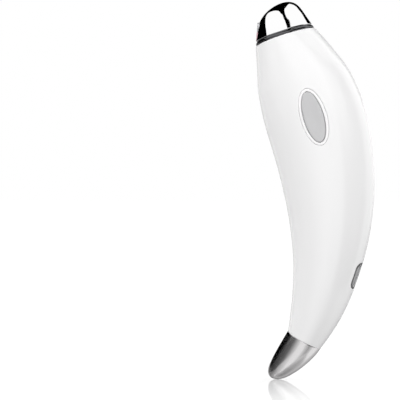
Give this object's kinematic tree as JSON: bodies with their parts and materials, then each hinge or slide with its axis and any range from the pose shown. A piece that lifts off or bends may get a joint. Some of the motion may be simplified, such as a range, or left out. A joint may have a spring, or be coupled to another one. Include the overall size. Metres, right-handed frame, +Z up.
{
  "type": "heated eye massager wand",
  "caption": "Crescent handle with a chrome massage head that carries a heated contact and a light window, an oval press button, a charging port and a metal tail.",
  "frame": {"origin": "middle of the footprint, at the height of the lowest point of the tail", "axes": "+Z up towards the head, +X towards the round back edge of the crescent, -Y towards the face with the button"},
  "size_m": [0.044, 0.0268, 0.138],
  "materials": {
    "white_shell": "gloss white ABS, lightly polished",
    "chrome": "mirror chrome plating",
    "satin_metal": "satin brushed metal",
    "contact_metal": "fine satin stainless steel",
    "window_red": "translucent rose polycarbonate",
    "button_silver": "satin silver paint",
    "bezel_white": "gloss white",
    "port_grey": "satin grey plastic",
    "steel": "plain pressed steel",
    "black_plastic": "satin black",
    "natural_plastic": "natural moulded plastic",
    "board_green": "solder mask over glass laminate",
    "brass": "plain turned",
    "copper_coil": "enamelled copper winding",
    "silicone": "soft silicone",
    "film_orange": "polyimide film",
    "led_lens": "clear epoxy over phosphor",
    "cell_wrap": "aluminium laminate pouch",
    "foam_tape": "closed cell foam",
    "lead_red": "PVC insulation"
  },
  "bodies": {
    "housing": {"front_shell": "white_shell", "back_shell": "white_shell", "massage_head": "chrome", "head_collar": "chrome", "contact_plate": "contact_metal", "light_window": "window_red", "heater_film": "film_orange", "led_board": "board_green", "head_leds": "led_lens", "contact_holder": "natural_plastic", "thermistor": "black_plastic", "head_carrier": "natural_plastic", "head_gasket": "silicone", "head_screws": "steel", "motor_can": "steel", "motor_end_cap": "black_plastic", "motor_sleeve": "silicone", "button_bezel": "bezel_white", "switch_body": "black_plastic", "circuit_board": "board_green", "control_chips": "black_plastic", "board_sockets": "natural_plastic", "inner_frame": "natural_plastic", "frame_screws": "steel", "battery_cell": "cell_wrap", "battery_tape": "foam_tape", "port_bezel": "port_grey", "usb_shell": "steel", "usb_tongue": "black_plastic", "charge_board": "board_green", "charge_chips": "black_plastic", "tail_cap": "satin_metal", "tail_plug": "natural_plastic", "tail_gasket": "silicone", "tail_screw": "steel", "motor_leads": "lead_red", "heater_leads": "lead_red", "battery_leads": "lead_red", "charge_leads": "lead_red"},
    "button": {"button_cap": "button_silver"},
    "switch_plunger": {"switch_plunger": "black_plastic"},
    "rotor": {"motor_shaft": "steel", "eccentric_weight": "brass", "motor_armature": "copper_coil"}
  },
  "joints": [
    {"name": "button_press", "type": "slide", "parent": "housing", "child": "button", "axis": [0, 1, 0], "range_m": [0, 0.0005], "stiffness_N_per_m": 1200, "springref_m": -0.0006},
    {"name": "plunger_press", "type": "slide", "parent": "housing", "child": "switch_plunger", "axis": [0, 1, 0], "range_m": [0, 0.0005]},
    {"name": "motor_spin", "type": "hinge", "parent": "housing", "child": "rotor", "pos_m": [-0.01024, 0.00015, 0.1252], "axis": [-0.309, 0, 0.9511], "continuous": true}
  ],
  "couplings": [
    {"joint": "plunger_press", "follows": "button_press", "ratio": 1}
  ]
}
